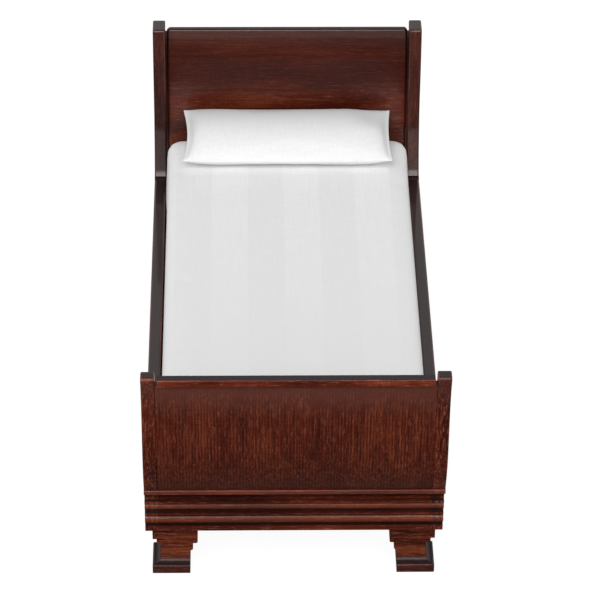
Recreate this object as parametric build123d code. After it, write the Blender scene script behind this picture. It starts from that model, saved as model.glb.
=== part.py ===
from build123d import *
from dataclasses import dataclass
import math
import os

# A 1:12 single sleigh bed. Millimetres, +Z up, origin on the floor under the middle of the bed.
# X runs across the bed (left is -X), the footboard is at -Y and the headboard is at +Y.
# Each end is drawn in (u, z): u is the distance outwards from the face that the side rails butt on.

# ---- overall sizes
bed_width = 92.0
rail_length = 161.0
foot_reach = 17.5
head_reach = 19.6
foot_height = 18.8
footboard_height = 86.5
headboard_height = 91.6

# ---- curve of each end: a sweep that leans out from its root on the base, a neck, then a flare
# (the sweep's end and the flare's start are shares of the height above the base)
sweep_lean = 14.6
foot_root = 10.1
foot_sweep_share = 0.412
foot_flare_share = 0.653
foot_inner_flare = 3.0
head_root = 6.75
head_sweep_share = 0.524
head_flare_share = 0.524
head_inner_flare = 1.6

# ---- uprights, panels and side rails
stile_width = 4.2
stile_thickness = 4.5
stile_top_round = 0.9
stile_ease = 0.45
cap_height = 2.7
cap_depth = 2.6
cap_drop = 0.5
cap_setback = 0.2
cap_end_gap = 0.7
cap_ease = 0.35
foot_panel_thickness = 2.6
head_panel_thickness = 2.8
head_panel_drop = 2.1
head_panel_gap = 0.5
head_panel_round = 0.9
head_panel_corner = 1.3
tongue_depth = 1.0
tongue_thickness = 1.2
tongue_top_gap = 1.3
rail_thickness = 4.0
rail_drop = 0.4
rail_ease = 0.6

# ---- reeded base moulding: (projection past the base face, height) from the frieze down
base_depth = 5.4
nose_height = 1.7
nose_overhang = 0.6
nose_round = 0.4
frieze_projection = 0.2
cove_height = 5.6
plinth_height = 1.5
base_courses = (
    (1.5, 0.9),
    (0.7, 0.4),
    (0.2, 2.4),
    (0.1, 1.4),
    (0.9, 0.7),
    (0.2, 0.4),
    (0.0, 3.0),
    (-0.5, 1.4),
    (0.2, 0.7),
)
reeds = {2: 1.2, 6: 1.5}
reed_sink = 0.15

# ---- bracket feet: setbacks from the base's outer face, heights from the floor
block_setback = 2.1
block_low = 13.4
step_setback = 3.3
step_low = 11.0
ankle_setback = 4.7
cove_radius = 1.9
toe_setback = 1.9
toe_height = 3.0
foot_round = 0.6
foot_ease = 0.4
bracket_reach = 16.1
bracket_mid_reach = 14.6
bracket_mid_low = 7.0
bracket_low_reach = 13.7

# ---- mattress support
ledger_size = 3.0
ledger_end_gap = 2.0
slat_count = 5
slat_width = 10.0
slat_thickness = 2.0
slat_rise = 14.0
slat_end_gap = 0.2
slat_end_distance = 16.5

# ---- dowels
dowel_diameter = 1.6
rail_dowel_length = 7.0
rail_dowel_rises = (5.2, 12.2)
foot_dowel_length = 6.0
foot_dowel_u = 1.5
foot_dowel_from_edge = 3.2
foot_dowel_spacing = 8.0

# ---- bedding
soft_gap = 0.25
mattress_side_gap = 0.5
mattress_end_gap = 0.4
mattress_thickness = 21.6
mattress_flare = 5.0
mattress_flare_rise = 9.0
mattress_round = 3.0
pillow_width = 71.0
pillow_depth = 29.0
pillow_thickness = 9.0
pillow_tilt = 5.0
pillow_round = 3.2
pillow_back_gap = 1.6

# ---- worked out from the sizes above
bed_length = rail_length + foot_reach + head_reach
half_width = bed_width / 2
stile_inner = half_width - stile_width
rail_inner = half_width - rail_thickness
foot_face = -bed_length / 2 + foot_reach
head_face = bed_length / 2 - head_reach
rail_middle = (foot_face + head_face) / 2
frieze_top = foot_height + plinth_height + sum(course for _, course in base_courses)
base_top = frieze_top + cove_height + nose_height
rail_top = base_top - rail_drop
slat_top = foot_height + slat_rise
tolerance = 1e-6


@dataclass
class EndCurve:
    """Outer face of one curved end, from its root on the base rail to its flared top."""

    side: int
    face: float
    root: float
    sweep_height: float
    flare_start: float
    height: float
    reach: float

    @property
    def radius(self):
        """Radius of the sweep that rises from the root to the full lean."""
        out = sweep_lean - self.root
        return (out**2 + (self.sweep_height - base_top) ** 2) / (2 * out)

    def u(self, z, inset=0.0, flare=None):
        """Distance out of a face that lies `inset` inside the outer one, at height z."""
        lean = sweep_lean - inset
        if z < self.sweep_height:
            radius = self.radius - inset
            return lean - radius + math.sqrt(radius**2 - (self.sweep_height - z) ** 2)
        if z <= self.flare_start:
            return lean
        flare = self.reach - sweep_lean if flare is None else flare
        rise = self.height - self.flare_start
        flare_radius = (rise**2 + flare**2) / (2 * flare)
        return lean + flare_radius - math.sqrt(flare_radius**2 - (z - self.flare_start) ** 2)

    def face_edges(self, low, high, inset=0.0, flare=None):
        """Edges of one face from height low to high: sweep, straight neck, flare."""

        def points(start, end):
            return [(self.u(z, inset, flare), z) for z in (start, (start + end) / 2, end)]

        sweep = ThreePointArc(*points(low, self.sweep_height))
        top_flare = ThreePointArc(*points(self.flare_start, high))
        if self.flare_start == self.sweep_height:
            return [sweep, top_flare]
        return [sweep, Line(sweep @ 1, top_flare @ 0), top_flare]

    def board(self, low, high, inset, thickness, inner_flare=None):
        """Closed (u, z) section of a curved board between two heights."""
        inner = inset + thickness
        bottom = Line((self.u(low, inset), low), (self.u(low, inner, inner_flare), low))
        top = Line((self.u(high, inset), high), (self.u(high, inner, inner_flare), high))
        outer_edges = self.face_edges(low, high, inset)
        inner_edges = self.face_edges(low, high, inner, inner_flare)
        return make_face(Curve() + outer_edges + inner_edges + [bottom, top])

    def extrude(self, section, x_low, x_high):
        """Carry a (u, z) section across the bed from x_low to x_high."""
        start = x_low if self.side > 0 else x_high
        plane = Plane(origin=(start, self.face, 0), x_dir=(0, self.side, 0), z_dir=(self.side, 0, 0))
        return extrude(plane * section, amount=x_high - x_low)

    def y(self, u):
        """Bed coordinate of a distance out."""
        return self.face + self.side * u


foot_end = EndCurve(
    side=-1,
    face=foot_face,
    root=foot_root,
    sweep_height=base_top + foot_sweep_share * (footboard_height - base_top),
    flare_start=base_top + foot_flare_share * (footboard_height - base_top),
    height=footboard_height,
    reach=foot_reach,
)
head_end = EndCurve(
    side=1,
    face=head_face,
    root=head_root,
    sweep_height=base_top + head_sweep_share * (headboard_height - base_top),
    flare_start=base_top + head_flare_share * (headboard_height - base_top),
    height=headboard_height,
    reach=head_reach,
)


def base_section(end):
    """Closed (u, z) section of the base rail: reeds, frieze and the nose that carries the panel."""
    nose = end.u(base_top) + nose_overhang
    nose_low = base_top - nose_height
    outline = [(0, foot_height), (0, base_top), (nose, base_top), (nose, nose_low)]
    frieze = base_depth + frieze_projection
    cove_bottom = (frieze, frieze_top)
    cove_top = (nose - nose_round, nose_low)
    cove_middle = (
        frieze + (nose - frieze) * (1 - math.sqrt(0.5)),
        nose_low - (nose_low - frieze_top) * (1 - math.sqrt(0.5)),
    )
    stepped = [cove_bottom]
    height = frieze_top
    circles = []
    for index, (projection, course) in enumerate(base_courses):
        stepped.append((base_depth + projection, height))
        if index in reeds:
            centre = (base_depth + projection - reed_sink, height - course / 2)
            circles.append(Pos(*centre) * Circle(reeds[index]))
        height -= course
        stepped.append((base_depth + projection, height))
    stepped += [(base_depth, height), (base_depth, foot_height)]
    edges = [
        Polyline(*outline, cove_top),
        ThreePointArc(cove_top, cove_middle, cove_bottom),
        Polyline(*stepped, (0, foot_height)),
    ]
    section = make_face(Curve() + edges)
    nose_corners = [v for v in section.vertices() if abs(v.X - nose) < tolerance]
    return fillet(nose_corners, nose_round) + circles


def upright(end, inner_flare, x_low, x_high):
    """S-shaped upright: a curved board with eased edges, standing on its length of the base rail."""
    section = end.board(base_top, end.height, 0.0, stile_thickness, inner_flare)
    section = fillet(section.vertices().sort_by(Axis.Y)[-2:], stile_top_round)
    board = end.extrude(section, x_low, x_high)
    sides = board.faces().sort_by(Axis.X)
    rim = [e for side in (sides[0], sides[-1]) for e in side.edges() if e.center().Z > base_top + tolerance]
    return fillet(rim, stile_ease) + end.extrude(base_section(end), x_low, x_high)


def mirrored(name, solid, parts):
    """Keep a left-hand piece and its right-hand mirror image."""
    parts[name + "_left"] = solid
    parts[name + "_right"] = mirror(solid, Plane.YZ)


def bracket_section():
    """Closed (reach, z) section of a bracket foot, reach measured in from the base's outer face."""
    cove_low = (ankle_setback - cove_radius, toe_height)
    cove_high = (ankle_setback, toe_height + cove_radius)
    bow = cove_radius * math.sqrt(0.5)
    cove_middle = (cove_low[0] + bow, cove_high[1] - bow)
    edges = [
        Polyline(
            cove_high,
            (ankle_setback, step_low),
            (step_setback, step_low),
            (step_setback, block_low),
            (block_setback, block_low),
            (block_setback, foot_height),
            (bracket_reach, foot_height),
            (bracket_reach, step_low),
            (bracket_mid_reach, step_low),
            (bracket_mid_reach, bracket_mid_low),
            (bracket_low_reach, bracket_mid_low),
            (bracket_low_reach, 0),
            (toe_setback, 0),
            (toe_setback, toe_height),
            cove_low,
        ),
        ThreePointArc(cove_low, cove_middle, cove_high),
    ]
    section = make_face(Curve() + edges)
    tips = [(toe_setback, toe_height), (block_setback, block_low)]
    tips += [(bracket_reach, step_low), (bracket_mid_reach, bracket_mid_low)]
    corners = [v for v in section.vertices() if any(math.dist((v.X, v.Y), t) < tolerance for t in tips)]
    return fillet(corners, foot_round)


def bracket_foot(end):
    """Left-hand foot: its section seen from the end, cut by the same section seen from the side."""
    section = bracket_section()
    outer_y = end.y(base_depth)
    from_end = Plane(origin=(-half_width, outer_y, 0), x_dir=(1, 0, 0), z_dir=(0, -1, 0))
    from_side = Plane(origin=(-half_width, outer_y, 0), x_dir=(0, -end.side, 0), z_dir=(-end.side, 0, 0))
    across = extrude(from_end * section, amount=bracket_reach, both=True)
    along = extrude(from_side * section, amount=bracket_reach, both=True)
    foot = across & along
    outer_corners = foot.edges().filter_by(Axis.Z).group_by(Axis.X)[0]
    return fillet(outer_corners, foot_ease)


def rail_dowels(end, x):
    """The two dowels of one rail end."""
    return [
        Pos(x, end.face, z) * Rot(90, 0, 0) * Cylinder(dowel_diameter / 2, rail_dowel_length)
        for z in (foot_height + rise for rise in rail_dowel_rises)
    ]


def foot_dowels(end, side):
    """The two upright dowels above one foot: one into the upright, one into the base rail."""
    outer = half_width - foot_dowel_from_edge
    return [
        Pos(side * x, end.y(foot_dowel_u), foot_height) * Cylinder(dowel_diameter / 2, foot_dowel_length)
        for x in (outer, outer - foot_dowel_spacing)
    ]


def upright_box(x_low, x_high, y_low, y_high, z_low, z_high):
    """A box given by its six faces."""
    box = Box(x_high - x_low, y_high - y_low, z_high - z_low)
    return Pos((x_low + x_high) / 2, (y_low + y_high) / 2, (z_low + z_high) / 2) * box


parts = {}

# ---- side rails, ledgers and slats
rail = upright_box(-half_width, -rail_inner, foot_face, head_face, foot_height, rail_top)
rail = fillet(rail.edges().filter_by(Axis.Y).group_by(Axis.Z)[-1], rail_ease)
slat_bottom = slat_top - slat_thickness
ledger = upright_box(
    -rail_inner,
    -rail_inner + ledger_size,
    foot_face + ledger_end_gap,
    head_face - ledger_end_gap,
    slat_bottom - ledger_size,
    slat_bottom,
)
slat_half = rail_inner - slat_end_gap
slat_pitch = (rail_length - 2 * slat_end_distance) / (slat_count - 1)
for index in range(slat_count):
    middle = foot_face + slat_end_distance + index * slat_pitch
    parts[f"slat_{index + 1}"] = upright_box(
        -slat_half, slat_half, middle - slat_width / 2, middle + slat_width / 2, slat_bottom, slat_top
    )

# ---- dowels, and the holes that they leave
all_rail_dowels = [
    dowel
    for end in (foot_end, head_end)
    for x in (-half_width + rail_thickness / 2, half_width - rail_thickness / 2)
    for dowel in rail_dowels(end, x)
]
all_foot_dowels = [
    dowel for end in (foot_end, head_end) for side in (-1, 1) for dowel in foot_dowels(end, side)
]
all_dowels = all_rail_dowels + all_foot_dowels
mirrored("side_rail", rail - all_rail_dowels, parts)
mirrored("ledger", ledger, parts)
parts["rail_dowels"] = Compound(all_rail_dowels)
parts["foot_dowels"] = Compound(all_foot_dowels)

# ---- bracket feet
for name, end in (("foot_front", foot_end), ("foot_rear", head_end)):
    mirrored(name, bracket_foot(end) - all_foot_dowels, parts)

# ---- headboard panel, with a tongue at each end
head_panel_top = headboard_height - head_panel_drop
head_panel_half = stile_inner - head_panel_gap
head_section = head_end.board(base_top, head_panel_top, 0.0, head_panel_thickness)
head_panel = head_end.extrude(head_section, -head_panel_half, head_panel_half)
panel_top = head_panel.faces().sort_by(Axis.Z)[-1]
top_corners = [e for e in panel_top.edges() if abs(e.center().X) > stile_inner - stile_width]
head_panel = fillet(top_corners, head_panel_corner)
panel_ends = head_panel.faces().sort_by(Axis.X)
rim = [e for f in (panel_ends[0], panel_ends[-1]) for e in f.edges() if e.center().Z > base_top + tolerance]
rim += [e for e in head_panel.edges().filter_by(Axis.X) if e.center().Z > base_top + tolerance]
head_panel = fillet(rim, head_panel_round)
tongue_inset = (head_panel_thickness - tongue_thickness) / 2
tongue_top = head_panel_top - tongue_top_gap
tongue_section = head_end.board(base_top, tongue_top, tongue_inset, tongue_thickness)
tongue_half = stile_inner + tongue_depth
tongue = head_end.extrude(tongue_section, -tongue_half, tongue_half)
parts["headboard_panel"] = head_panel + tongue

# ---- footboard panel and its cap
cap_top = footboard_height - cap_drop
cap_low = cap_top - cap_height
foot_section = foot_end.board(base_top, cap_low, 0.0, foot_panel_thickness)
parts["footboard_panel"] = foot_end.extrude(foot_section, -stile_inner, stile_inner)
cap_half = stile_inner - cap_end_gap
cap_outer = foot_reach - cap_setback
cap_ys = sorted((foot_end.y(cap_outer), foot_end.y(cap_outer - cap_depth)))
cap = upright_box(-cap_half, cap_half, *cap_ys, cap_low, cap_top)
cap_front = cap.faces().sort_by(Axis.Y)[0]
parts["footboard_cap"] = fillet(cap_front.edges().filter_by(Axis.X), cap_ease)

# ---- uprights and base rails
for name, end, inner_flare in (
    ("footboard", foot_end, foot_inner_flare),
    ("headboard", head_end, head_inner_flare),
):
    stile = upright(end, inner_flare, -half_width, -stile_inner)
    mirrored(name + "_stile", stile - all_dowels - tongue, parts)
    base_rail = end.extrude(base_section(end), -stile_inner, stile_inner)
    parts[name + "_base_rail"] = base_rail - all_foot_dowels

# ---- mattress: it follows the sweep of both ends above the side rails
mattress_bottom = slat_top + soft_gap
mattress_top = mattress_bottom + mattress_thickness
mattress_half = rail_length / 2 - mattress_end_gap
flared_half = mattress_half + mattress_flare
flare_top = base_top + mattress_flare_rise
mattress_outline = Polyline(
    (-mattress_half, mattress_bottom),
    (-mattress_half, base_top),
    (-flared_half, flare_top),
    (-flared_half, mattress_top),
    (flared_half, mattress_top),
    (flared_half, flare_top),
    (mattress_half, base_top),
    (mattress_half, mattress_bottom),
    close=True,
)
mattress_half_width = rail_inner - mattress_side_gap
mattress_plane = Plane(origin=(0, rail_middle, 0), x_dir=(0, 1, 0), z_dir=(1, 0, 0))
mattress = extrude(mattress_plane * make_face(mattress_outline), amount=mattress_half_width, both=True)
parts["mattress"] = fillet(mattress.edges().group_by(Axis.Z)[-1], mattress_round)

# ---- pillow: it lies on the mattress with its back edge towards the headboard
tilt = math.radians(pillow_tilt)
rounded_half = pillow_depth / 2 - pillow_round
flat_half = pillow_thickness / 2 - pillow_round
pillow_drop = rounded_half * math.sin(tilt) + flat_half * math.cos(tilt) + pillow_round
pillow_run = rounded_half * math.cos(tilt) + flat_half * math.sin(tilt) + pillow_round
pillow_z = mattress_top + soft_gap + pillow_drop
panel_inner = head_end.u(pillow_z, head_panel_thickness)
pillow_y = head_end.y(panel_inner - pillow_back_gap - pillow_run)
pillow = Box(pillow_width, pillow_depth, pillow_thickness)
pillow = fillet(pillow.edges(), pillow_round)
parts["pillow"] = Pos(0, pillow_y, pillow_z) * Rot(pillow_tilt, 0, 0) * pillow

os.makedirs("parts", exist_ok=True)
for name, solid in parts.items():
    export_step(solid, f"parts/{name}.step")
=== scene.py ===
import math

import bmesh
import bpy
from mathutils import Matrix, Vector


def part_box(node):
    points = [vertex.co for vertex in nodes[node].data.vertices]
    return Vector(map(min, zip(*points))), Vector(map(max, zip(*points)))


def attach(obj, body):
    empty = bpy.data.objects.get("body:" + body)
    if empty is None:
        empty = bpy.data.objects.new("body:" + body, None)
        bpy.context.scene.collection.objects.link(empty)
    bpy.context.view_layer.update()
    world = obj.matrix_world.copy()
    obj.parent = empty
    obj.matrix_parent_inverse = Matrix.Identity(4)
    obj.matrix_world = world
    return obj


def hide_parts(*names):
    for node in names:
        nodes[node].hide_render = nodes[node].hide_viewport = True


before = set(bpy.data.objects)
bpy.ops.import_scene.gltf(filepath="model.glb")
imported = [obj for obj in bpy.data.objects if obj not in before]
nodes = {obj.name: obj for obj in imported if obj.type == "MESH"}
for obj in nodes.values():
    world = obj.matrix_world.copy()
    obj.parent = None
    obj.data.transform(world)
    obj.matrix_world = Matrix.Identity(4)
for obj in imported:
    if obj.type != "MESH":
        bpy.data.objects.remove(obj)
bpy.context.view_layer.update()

MM = 0.001


# ---------------------------------------------------------------- shader maths
class Value:
    """A socket in a node tree. Sums and products of values add their Math nodes."""

    def __init__(self, tree, socket):
        self.tree = tree
        self.socket = socket

    def math(self, operation, *others):
        node = self.tree.nodes.new("ShaderNodeMath")
        node.operation = operation
        for slot, item in zip(node.inputs, others):
            if isinstance(item, Value):
                self.tree.links.new(item.socket, slot)
            else:
                slot.default_value = item
        return Value(self.tree, node.outputs[0])

    def __add__(self, other):
        return self.math("ADD", self, other)

    def __sub__(self, other):
        return self.math("SUBTRACT", self, other)

    def __rsub__(self, other):
        return self.math("SUBTRACT", other, self)

    def __mul__(self, other):
        return self.math("MULTIPLY", self, other)

    def sine(self):
        return self.math("SINE", self)


class Finish:
    """A material under construction: its nodes, and the values that they carry."""

    def __init__(self, name):
        self.material = bpy.data.materials.new(name)
        self.material.use_nodes = True
        self.tree = self.material.node_tree
        self.tree.nodes.clear()
        self.output = self.tree.nodes.new("ShaderNodeOutputMaterial")

    def node(self, kind, settings=None, **inputs):
        """Add a node: settings first, then its inputs by name (spaces as underscores)."""
        node = self.tree.nodes.new(kind)
        for key, value in (settings or {}).items():
            setattr(node, key, value)
        for key, value in inputs.items():
            self.feed(node, key.replace("_", " "), value)
        return node

    def feed(self, node, key, value):
        slot = next(s for s in node.inputs if s.name.lower() == key.lower() and s.enabled)
        if isinstance(value, Value):
            self.tree.links.new(value.socket, slot)
        else:
            slot.default_value = value

    def out(self, node, name):
        return Value(self.tree, node.outputs[name])

    def place(self, scale=(1, 1, 1), shift=(0, 0, 0)):
        """Object coordinates in millimetres, stretched to the pattern."""
        coordinates = self.node("ShaderNodeTexCoord")
        mapping = self.node(
            "ShaderNodeMapping",
            Vector=self.out(coordinates, "Object"),
            Scale=[s / MM for s in scale],
            Location=shift,
        )
        return self.out(mapping, "Vector")

    def noise(self, vector, scale=1.0, detail=3.0, roughness=0.5, distortion=0.0):
        settings = {"noise_dimensions": "3D"}
        node = self.node(
            "ShaderNodeTexNoise",
            settings,
            Vector=vector,
            Scale=scale,
            Detail=detail,
            Roughness=roughness,
            Distortion=distortion,
        )
        return self.out(node, "Fac")

    def spread(self, value, low, high, to_low=0.0, to_high=1.0):
        """Stretch a range of a value onto another, clamped."""
        node = self.node(
            "ShaderNodeMapRange",
            {"clamp": True, "interpolation_type": "SMOOTHSTEP"},
            Value=value,
            From_Min=low,
            From_Max=high,
            To_Min=to_low,
            To_Max=to_high,
        )
        return self.out(node, "Result")

    def mix(self, factor, first, second):
        """Mix two colours."""
        node = self.tree.nodes.new("ShaderNodeMix")
        node.data_type = "RGBA"
        for slot, value in zip((node.inputs[0], node.inputs[6], node.inputs[7]), (factor, first, second)):
            if isinstance(value, Value):
                self.tree.links.new(value.socket, slot)
            elif slot == node.inputs[0]:
                slot.default_value = value
            else:
                slot.default_value = (*value, 1)
        return Value(self.tree, node.outputs[2])

    def bump(self, height, strength, distance):
        node = self.node("ShaderNodeBump", None, Height=height, Strength=strength, Distance=distance)
        return self.out(node, "Normal")

    def surface(self, **inputs):
        shader = self.node("ShaderNodeBsdfPrincipled", None, **inputs)
        self.tree.links.new(shader.outputs[0], self.output.inputs["Surface"])
        return self.material


# ---------------------------------------------------------------- finishes
DEEP = (0.026, 0.0036, 0.0020)
WARM = (0.100, 0.0150, 0.0056)
AMBER = (0.245, 0.063, 0.024)
# Dark neutral grey: a painted reflection on faces turned upwards, and the colour the toes are darkened
# towards.
DARK_GREY = (0.0190, 0.0120, 0.0130)
# Painted sheen: a paler, greyer red laid on where the lacquer catches the light.
PAINTED_SHEEN = (0.200, 0.068, 0.049)
PALE = (0.300, 0.105, 0.066)


def grain_scale(axis, across, along):
    """Pattern scale with its long direction on one axis."""
    return [along if k == axis else across for k in range(3)]


LINE_RATE = 6.6
# Reach of the painted shade where nearby parts close the wood in.
HOLLOW_SHADE_REACH = 14.0 * MM
# Reach of the crevice darkening, partly grime and partly painted shade.
CREVICE_REACH = 1.0 * MM
PORE_DEPTH = 0.05 * MM
WEAVE_DEPTH = 0.06 * MM
STRIPE_WIDTH = 12.0


def mahogany(name, axis, seed, look):
    """Dark red mahogany under lacquer, grain along one axis: bands, streaks, pores and cross figure; with
    grime and painted shade in crevices, painted shade in hollows, painted shade, highlights and sheen in
    height bands, and a painted grey reflection on upward faces.
    """
    wood = Finish(name)
    light = look["light"]
    shift = (seed * 37.0, seed * 53.0, seed * 19.0)
    bands = wood.noise(wood.place(scale=grain_scale(axis, 0.10, 0.025), shift=shift), 1.0, 2.0)
    streaks = wood.noise(wood.place(scale=grain_scale(axis, 1.9, 0.06), shift=shift), 1.0, 3.0, 0.6)
    pores = wood.noise(wood.place(scale=grain_scale(axis, 2.8, 0.3), shift=shift), 1.0, 2.0, 0.6)
    figure = wood.noise(wood.place(scale=grain_scale(axis, 0.45, 2.3), shift=shift), 1.0, 3.0, 0.65, 0.7)
    split = wood.node("ShaderNodeSeparateXYZ", None, Vector=wood.place())
    lines = (wood.out(split, "X") * LINE_RATE + figure * 4.0).sine()
    tone = (bands - 0.5) * look["blotch"] + (streaks * 1.7 + figure * 0.9 - 1.3) * look["contrast"]
    tone = tone + lines * look["lines"] + 0.5
    colour = wood.mix(wood.spread(tone, 0.05, 0.75), tone_of(DEEP, light), tone_of(WARM, light))
    colour = wood.mix(wood.spread(tone, 0.5, 1.1) * 0.75, colour, tone_of(AMBER, light))
    colour = wood.mix(wood.spread(pores, 0.56, 0.68) * look["fleck"], colour, tone_of(PALE, light))
    colour = wood.mix(wood.spread(pores, 0.44, 0.34) * look["fleck"], colour, tone_of(DEEP, 0.6))
    height = wood.out(split, "Z")
    for start, full, fade, end, shade, amount in look["shades"]:
        band = wood.spread(height, start, full) * wood.spread(height, end, fade)
        colour = wood.mix(band * amount, colour, shade)
    # Crevices darken: partly grime, partly painted shade.
    crevice_grime_and_shade = wood.node("ShaderNodeAmbientOcclusion", {"samples": 6}, Distance=CREVICE_REACH)
    clear = wood.spread(wood.out(crevice_grime_and_shade, "AO"), 0.25, 0.75, 1.0 - look["crevice_grime_and_shade"], 1.0)
    colour = wood.mix(clear, tone_of(DEEP, 0.35), colour)
    faces = wood.node("ShaderNodeTexCoord")
    upward = wood.out(wood.node("ShaderNodeSeparateXYZ", None, Vector=wood.out(faces, "Normal")), "Z")
    # Painted reflection: faces turned upwards are mixed towards the dark grey, as the lacquer looks from
    # above.
    colour = wood.mix(wood.spread(upward, look["top_from"], 0.99) * look["top"], colour, DARK_GREY)
    # Painted shade: the wood darkens where nearby parts close it in.
    if look["hollow_shade"]:
        depth = wood.node("ShaderNodeAmbientOcclusion", {"samples": 6}, Distance=HOLLOW_SHADE_REACH)
        hollow_shade_mask = wood.spread(wood.out(depth, "AO"), 0.80, 0.50) * look["hollow_shade"]
        colour = wood.mix(hollow_shade_mask, colour, tone_of(DEEP, 0.6))
    start, full, fade, end, loss = look["dull"]
    worn = wood.spread(height, start, full) * wood.spread(height, end, fade)
    return wood.surface(
        Base_Color=colour,
        Roughness=wood.spread(streaks, 0.3, 0.7, 0.36, 0.5),
        Specular_IOR_Level=0.12,
        Coat_Weight=(1.0 - worn * loss) * look["coat"],
        Coat_Roughness=look["coat_roughness"],
        Coat_IOR=1.45,
        Normal=wood.bump(pores * 0.6 + figure * 0.4, 0.3, PORE_DEPTH),
    )


def tone_of(colour, light):
    """A colour made lighter or darker."""
    return tuple(min(1.0, c * light) for c in colour)


def cotton(name, shade, stripes, shaded):
    """White cotton: weave and slub, twill stripes if asked for, and one end shaded (y, y, tone)."""
    cloth = Finish(name)
    split = cloth.node("ShaderNodeSeparateXYZ", None, Vector=cloth.place())
    x, y = (cloth.out(split, axis) for axis in "XY")
    slub = cloth.noise(cloth.place(scale=(1.8, 0.12, 1.8)), 1.0, 3.0, 0.6)
    cross = cloth.noise(cloth.place(scale=(0.15, 1.8, 1.8)), 1.0, 3.0, 0.6)
    tint = slub * 0.6 + cross * 0.4
    weave = slub * 0.5 + cross * 0.5
    if stripes:
        stripe = cloth.spread(((x + 1.76) * (math.pi / STRIPE_WIDTH)).sine(), -0.06, 0.06)
        twill = ((stripe * 2.0 - 1.0) * x * 4.6 + y * 4.6).sine()
        ribs = (x * 6.7).sine()
        weave = twill * 0.15 + ribs * 0.05 + slub * 0.5 + cross * 0.4
        tint = stripe * 0.14 + slub * 0.45 + cross * 0.35 + twill * 0.07 + ribs * 0.03 + 0.02
    colour = cloth.mix(cloth.spread(tint, 0.2, 0.8), tone_of(shade, 0.93), tone_of(shade, 1.05))
    start, end, tone = shaded
    colour = cloth.mix(cloth.spread(y, start, end) * 0.85, colour, tone_of(shade, tone))
    return cloth.surface(
        Base_Color=colour,
        Roughness=0.9,
        Specular_IOR_Level=0.15,
        Sheen_Weight=0.1,
        Sheen_Roughness=0.5,
        Normal=cloth.bump(weave, 0.3, WEAVE_DEPTH),
    )


def plain(name, colour, roughness, glow):
    """A plain matt surface with a little light of its own."""
    finish = Finish(name)
    return finish.surface(
        Base_Color=(*colour, 1), Roughness=roughness, Emission_Color=(1, 1, 1, 1), Emission_Strength=glow
    )


def paint(node, material):
    """Give a node's object one material."""
    mesh = nodes[node].data
    mesh.materials.clear()
    mesh.materials.append(material)


ACROSS, LENGTHWISE, UPRIGHT = 0, 1, 2
# Looks of the wood. light sets how light each part's wood colour is; it is set part by part to how bright
# each part looks, so beside the parts' own tone it carries painted light and shade.
GLOSS = {
    "light": 0.9,
    "contrast": 1.0,
    "blotch": 1.1,
    "lines": 0.0,
    "fleck": 0.25,
    "crevice_grime_and_shade": 1.0,
    "hollow_shade": 0.0,
    "coat": 0.85,
    "coat_roughness": 0.07,
    "dull": (0.0, 1.0, 2.0, 3.0, 0.0),
    # The two top settings give the strength of the painted grey reflection on upward faces, and the slope
    # where it begins.
    "top": 0.9,
    "top_from": 0.9,
    "shades": (),
}
# Near black: painted shade in grooves and recesses.
GROOVE_SHADE = (0.010, 0.0025, 0.0018)
# Dark greyish brown: painted shade on the headboard stiles above the base.
GREY_SHADE = (0.040, 0.024, 0.024)
# Height bands of the base moulding: painted shade in the grooves and the cove under the nose, painted
# highlights on the fronts of the reeds.
COURSES = (
    (20.7, 21.1, 22.0, 22.6, GROOVE_SHADE, 0.80),
    (22.6, 23.2, 24.4, 25.2, AMBER, 0.30),
    (25.2, 25.5, 25.7, 25.9, GROOVE_SHADE, 0.80),
    (26.3, 26.6, 27.4, 28.0, GROOVE_SHADE, 0.80),
    (28.0, 28.6, 29.5, 30.2, AMBER, 0.30),
    (31.8, 33.0, 36.0, 37.2, GROOVE_SHADE, 0.60),
)
# Painted highlight along the nose of the base moulding.
NOSE_HIGHLIGHT = (37.2, 37.8, 38.6, 39.2, PAINTED_SHEEN, 0.30)
FRONT = GLOSS | {"light": 1.1, "fleck": 0.5, "coat": 0.4, "coat_roughness": 0.2, "crevice_grime_and_shade": 0.5}
# Painted sheen towards the top of the footboard panel.
PANEL_TOP_SHEEN = (68.0, 83.0, 90.0, 91.0, PAINTED_SHEEN, 0.55)
# Painted shade low on the footboard panel.
PANEL_FOOT_SHADE = (30.0, 31.0, 42.0, 52.0, DEEP, 0.10)
PANEL = FRONT | {
    "blotch": 0.5,
    "contrast": 0.7,
    "lines": 0.11,
    "fleck": 0.3,
    "shades": (PANEL_TOP_SHEEN, PANEL_FOOT_SHADE),
}
# Footboard stiles: the painted shade and highlights of the base courses, a painted highlight on the nose,
# and painted sheen towards the top.
STILE = FRONT | {"light": 1.4, "shades": COURSES + (NOSE_HIGHLIGHT, (70.0, 84.0, 90.0, 91.0, PAINTED_SHEEN, 0.30))}
CAP = FRONT | {"light": 1.65, "contrast": 0.6, "fleck": 0.3, "top": 1.0}
# Base rails: the painted shade and highlights of the courses, and a painted highlight on the nose.
BASE = FRONT | {
    "light": 1.45,
    "contrast": 0.45,
    "fleck": 0.3,
    "top": 0.1,
    "coat": 0.25,
    "shades": COURSES + (NOSE_HIGHLIGHT,),
}
# The toe is darker towards the bottom, mixed towards the dark grey.
TOE = (-2.0, -1.0, 2.4, 3.2, DARK_GREY, 0.55)
# Painted shade on the ledge above the toe.
LEDGE_SHADE = (2.6, 3.2, 4.0, 5.4, GROOVE_SHADE, 0.50)
# Painted highlight in the cove of the ankle.
ANKLE_HIGHLIGHT = (4.6, 6.2, 7.4, 9.2, AMBER, 0.30)
FOOT = FRONT | {"light": 1.25, "top_from": 0.5, "coat": 0.3, "crevice_grime_and_shade": 0.8, "shades": (ANKLE_HIGHLIGHT, TOE, LEDGE_SHADE)}
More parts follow.
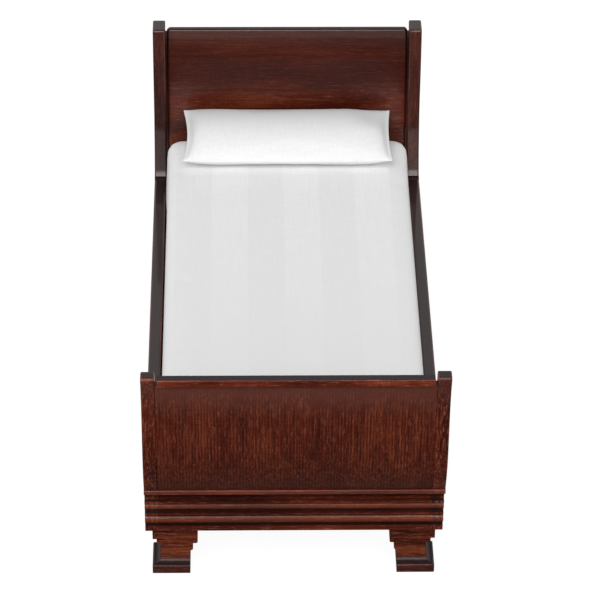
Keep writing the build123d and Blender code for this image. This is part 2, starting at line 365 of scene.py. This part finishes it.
# Painted shade darkening the upper part of the headboard.
DARKER_TOP = (62.0, 74.0, 99.0, 100.0, DEEP, 0.70)
HEADBOARD = GLOSS | {
    "light": 1.35,
    "contrast": 0.5,
    "coat": 0.65,
    "coat_roughness": 0.1,
    "hollow_shade": 0.55,
    "dull": (67.0, 73.0, 86.0, 87.5, 0.75),
    "shades": (DARKER_TOP,),
}
# Headboard stiles: painted shade and highlights of the base courses, painted shade in hollows, and painted
# greyish shade above the base.
HEAD_STILE = GLOSS | {
    "light": 0.75,
    "contrast": 0.8,
    "hollow_shade": 0.5,
    "shades": COURSES + ((37.5, 40.0, 99.0, 100.0, GREY_SHADE, 0.25),),
}
INNER = GLOSS | {"light": 1.7, "coat": 0.2, "coat_roughness": 0.4, "top": 0.0}
finishes = {
    "footboard_panel": (UPRIGHT, PANEL),
    "footboard_stile_left": (UPRIGHT, STILE),
    "footboard_stile_right": (UPRIGHT, STILE),
    "footboard_cap": (ACROSS, CAP),
    "footboard_base_rail": (ACROSS, BASE),
    "foot_front_left": (ACROSS, FOOT),
    "foot_front_right": (ACROSS, FOOT),
    "foot_rear_left": (ACROSS, FOOT),
    "foot_rear_right": (ACROSS, FOOT),
    "headboard_panel": (ACROSS, HEADBOARD),
    "headboard_stile_left": (UPRIGHT, HEAD_STILE),
    "headboard_stile_right": (UPRIGHT, HEAD_STILE),
    "headboard_base_rail": (ACROSS, BASE),
    "side_rail_left": (LENGTHWISE, GLOSS),
    "side_rail_right": (LENGTHWISE, GLOSS),
    "ledger_left": (LENGTHWISE, INNER),
    "ledger_right": (LENGTHWISE, INNER),
    "rail_dowels": (LENGTHWISE, INNER),
    "foot_dowels": (UPRIGHT, INNER),
}
finishes |= {name: (ACROSS, INNER) for name in nodes if name.startswith("slat_")}
for number, (node, (axis, look)) in enumerate(finishes.items()):
    paint(node, mahogany("mahogany_" + node, axis, number + 1.0, look))


# ---------------------------------------------------------------- bedding
STAGE_SCALE = 6.0


def piece(name, mesh_source, material, smooth=True):
    """Turn a bmesh into an object of the scene."""
    mesh = bpy.data.meshes.new(name)
    mesh_source.to_mesh(mesh)
    mesh_source.free()
    mesh.materials.append(material)
    if smooth:
        mesh.shade_smooth()
    made = bpy.data.objects.new(name, mesh)
    bpy.context.scene.collection.objects.link(made)
    return made


def apply_modifiers(thing):
    """Bake a piece's modifiers into its mesh."""
    evaluated = thing.evaluated_get(bpy.context.evaluated_depsgraph_get())
    mesh = bpy.data.meshes.new_from_object(evaluated)
    thing.modifiers.clear()
    thing.data = mesh
    mesh.shade_smooth()


def inflate(thing, pressure, cap, frames=20, stiffness=25.0):
    """Let the case fill out under pressure at a larger scale, moving no point further than cap."""
    start = [v.co.copy() for v in thing.data.vertices]
    thing.data.transform(Matrix.Scale(STAGE_SCALE, 4))
    cloth = thing.modifiers.new("filling", "CLOTH")
    cloth.settings.use_pressure = True
    cloth.settings.uniform_pressure_force = pressure
    cloth.settings.tension_stiffness = stiffness
    cloth.settings.compression_stiffness = stiffness
    cloth.settings.shear_stiffness = stiffness
    cloth.settings.bending_stiffness = 0.6
    cloth.settings.quality = 6
    cloth.settings.effector_weights.gravity = 0.0
    cloth.collision_settings.use_collision = False
    cloth.point_cache.frame_end = frames
    scene = bpy.context.scene
    for number in range(1, frames + 1):
        scene.frame_set(number)
    apply_modifiers(thing)
    scene.frame_set(1)
    for vertex, before in zip(thing.data.vertices, start):
        moved = vertex.co / STAGE_SCALE - before
        if moved.length > cap:
            moved *= cap / moved.length
        vertex.co = before + moved


def subdivide(thing, levels=1):
    smooth = thing.modifiers.new("smooth", "SUBSURF")
    smooth.levels = levels
    smooth.render_levels = levels
    apply_modifiers(thing)


def grid_box(size, cell):
    """A closed box of near-square faces, centred on the origin."""
    form = bmesh.new()
    bmesh.ops.create_cube(form, size=1.0)
    bmesh.ops.scale(form, vec=size, verts=form.verts)
    for axis in range(3):
        cuts = round(size[axis] / cell) - 1
        if cuts > 0:
            edges = [e for e in form.edges if abs((e.verts[0].co - e.verts[1].co)[axis]) > size[axis] * 0.9]
            bmesh.ops.subdivide_edges(form, edges=edges, cuts=cuts, use_grid_fill=True)
    return form


def smooth_step(value, low, high):
    """Smooth rise from 0 at low to 1 at high."""
    part = min(1.0, max(0.0, (value - low) / (high - low)))
    return part * part * (3 - 2 * part)


def build_mattress():
    """Soft block: rounded corners, ends that lean out above the rails, filled out a little."""
    low, high = (Vector(c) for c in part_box("mattress"))
    middle = (low + high) / 2
    base_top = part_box("footboard_base_rail")[1][2]
    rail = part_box("side_rail_left")
    straight_half = (rail[1][1] - rail[0][1]) / 2 - 0.4 * MM
    swell = 0.8 * MM
    size = (high.x - low.x - 2 * swell, 2 * (straight_half - swell), high.z - low.z - 2 * swell)
    form = bmesh.new()
    bmesh.ops.create_cube(form, size=1.0)
    bmesh.ops.scale(form, vec=size, verts=form.verts)
    corners = [e for e in form.edges if abs(e.verts[0].co.z - e.verts[1].co.z) > size[2] / 2]
    bmesh.ops.bevel(
        form, geom=corners, offset=5.5 * MM, segments=6, profile=0.5, affect="EDGES", material=-1
    )
    rims = [e for e in form.edges if len({round(f.normal.z) for f in e.link_faces}) == 2]
    bmesh.ops.bevel(form, geom=rims, offset=2.6 * MM, segments=4, profile=0.5, affect="EDGES", material=-1)
    mattress = piece("mattress_case", form, cotton("striped_cotton", (0.86,) * 3, True, (85.0, -85.0, 0.91)))
    remesh = mattress.modifiers.new("even", "REMESH")
    remesh.mode = "VOXEL"
    remesh.voxel_size = 1.3 * MM
    apply_modifiers(mattress)
    flare = (high.y - low.y) / 2 - straight_half
    for vertex in mattress.data.vertices:
        rise = smooth_step(middle.z + vertex.co.z, base_top, base_top + 9.0 * MM)
        vertex.co.y *= 1 + flare / straight_half * rise
    inflate(mattress, 3.0, swell)
    subdivide(mattress)
    half_width = max(v.co.x for v in mattress.data.vertices)
    mattress.data.transform(Matrix.Scale((high.x - middle.x + 0.15 * MM) / half_width, 4, (1, 0, 0)))
    settle(mattress, low.z - middle.z)
    mattress.data.transform(Matrix.Translation(middle))
    return mattress


def settle(thing, level):
    """Flatten whatever lies below a level onto it."""
    for vertex in thing.data.vertices:
        vertex.co.z = max(vertex.co.z, level)


PILLOW_HALF = (36.2 * MM, 14.3 * MM)
PILLOW_FLANGE = 1.3 * MM
PILLOW_RISE = 4.7 * MM


def shape_pillow(vertices):
    """Fill a flat case to a crown, with thin ends, drawn-in sides and lifted corners."""
    half_x, half_y = PILLOW_HALF
    for vertex in vertices:
        u = max(-1.0, min(1.0, vertex.co.x / half_x))
        v = max(-1.0, min(1.0, vertex.co.y / half_y))
        end = min(1.0, abs(vertex.co.x) / (half_x - PILLOW_FLANGE))
        full = (1 - end**8) ** 0.6 * (1 - abs(v) ** 2.1) ** 0.62
        full *= 1 - 0.35 * smooth_step(u, 0.55, 0.85) * smooth_step(v, -0.2, 0.6)
        side = 1 if vertex.co.z > 0 else -1
        vertex.co.z = side * (0.22 * MM + PILLOW_RISE * full)
        drawn_in = 1.5 * MM if u < 0 else 0.8 * MM
        vertex.co.x -= u * abs(u) ** 3 * drawn_in * (1 - v * v)
        vertex.co.y += 0.3 * MM * v * (1 - u**6)
        vertex.co.z += 0.5 * MM * abs(u) ** 9 * abs(v) ** 4


def build_pillow(rest_height):
    """A stuffed case lying on the mattress, its back edge a little higher than its front."""
    form = grid_box((2 * PILLOW_HALF[0], 2 * PILLOW_HALF[1], 0.4 * MM), 0.85 * MM)
    pillow = piece("pillow_case", form, cotton("plain_cotton", (0.89,) * 3, False, (66.0, 84.0, 0.82)))
    shape_pillow(pillow.data.vertices)
    inflate(pillow, 5.0, 0.5 * MM)
    subdivide(pillow)
    pillow.data.transform(Matrix.Rotation(math.radians(5.1), 4, "X"))
    pillow.data.transform(Matrix.Translation((-0.15 * MM, 73.55 * MM, 59.95 * MM)))
    settle(pillow, rest_height)
    return pillow


mattress = build_mattress()
top_height = max(v.co.z for v in mattress.data.vertices)
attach(mattress, "mattress")
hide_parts("mattress")

pillow = build_pillow(top_height + 0.05 * MM)
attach(pillow, "pillow")
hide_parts("pillow")


# ---------------------------------------------------------------- stage, light and camera
floor_form = bmesh.new()
bmesh.ops.create_grid(floor_form, x_segments=1, y_segments=1, size=6.0)
floor = piece("floor", floor_form, plain("pale_floor", (0.12, 0.12, 0.12), 0.9, 0.93), smooth=False)
floor.visible_glossy = False
floor.visible_diffuse = False
floor.visible_shadow = False


def softbox(name, place, aim, size, power):
    """A rectangular area light turned towards a point."""
    light = bpy.data.lights.new(name, "AREA")
    light.shape = "RECTANGLE"
    light.size, light.size_y = size
    light.energy = power
    holder = bpy.data.objects.new(name, light)
    bpy.context.scene.collection.objects.link(holder)
    holder.location = place
    holder.rotation_euler = (Vector(aim) - Vector(place)).to_track_quat("-Z", "Y").to_euler()


softbox("key", (-0.23, -1.286, 1.572), (0, 0, 0.04), (1.4, 1.1), 25.5)

world = bpy.data.worlds.new("studio")
bpy.context.scene.world = world
world.use_nodes = True
room = world.node_tree
direction = room.nodes.new("ShaderNodeTexCoord")
split = room.nodes.new("ShaderNodeSeparateXYZ")
height = room.nodes.new("ShaderNodeMapRange")
height.inputs["From Min"].default_value = -1
levels = room.nodes.new("ShaderNodeValToRGB")
stops = ((0.0, 0.12), (0.47, 0.08), (0.505, 0.95), (0.80, 0.70), (1.0, 0.05))
for position, _ in stops[1:-1]:
    levels.color_ramp.elements.new(position)
for stop, (_, level) in zip(levels.color_ramp.elements, stops):
    stop.color = (level, level, level, 1)
room.links.new(direction.outputs["Generated"], split.inputs[0])
room.links.new(split.outputs["Z"], height.inputs["Value"])
room.links.new(height.outputs[0], levels.inputs[0])
room.links.new(levels.outputs[0], room.nodes["Background"].inputs["Color"])

PITCH = math.radians(35.80)
YAW = math.radians(1.341)
ROLL = math.radians(0.600)
camera_data = bpy.data.cameras.new("camera")
camera_data.lens = 192.0
camera_data.sensor_width = 36.0
camera_data.clip_start = 0.01
camera = bpy.data.objects.new("camera", camera_data)
bpy.context.scene.collection.objects.link(camera)
aim = Matrix.Rotation(-YAW, 4, "Z") @ Matrix.Rotation(math.pi / 2 - PITCH, 4, "X")
aim @= Matrix.Rotation(ROLL, 4, "Z")
camera.matrix_world = Matrix.Translation((-0.01673, -0.8484, 0.6560)) @ aim
bpy.context.scene.camera = camera
bpy.context.scene.view_settings.view_transform = "Standard"
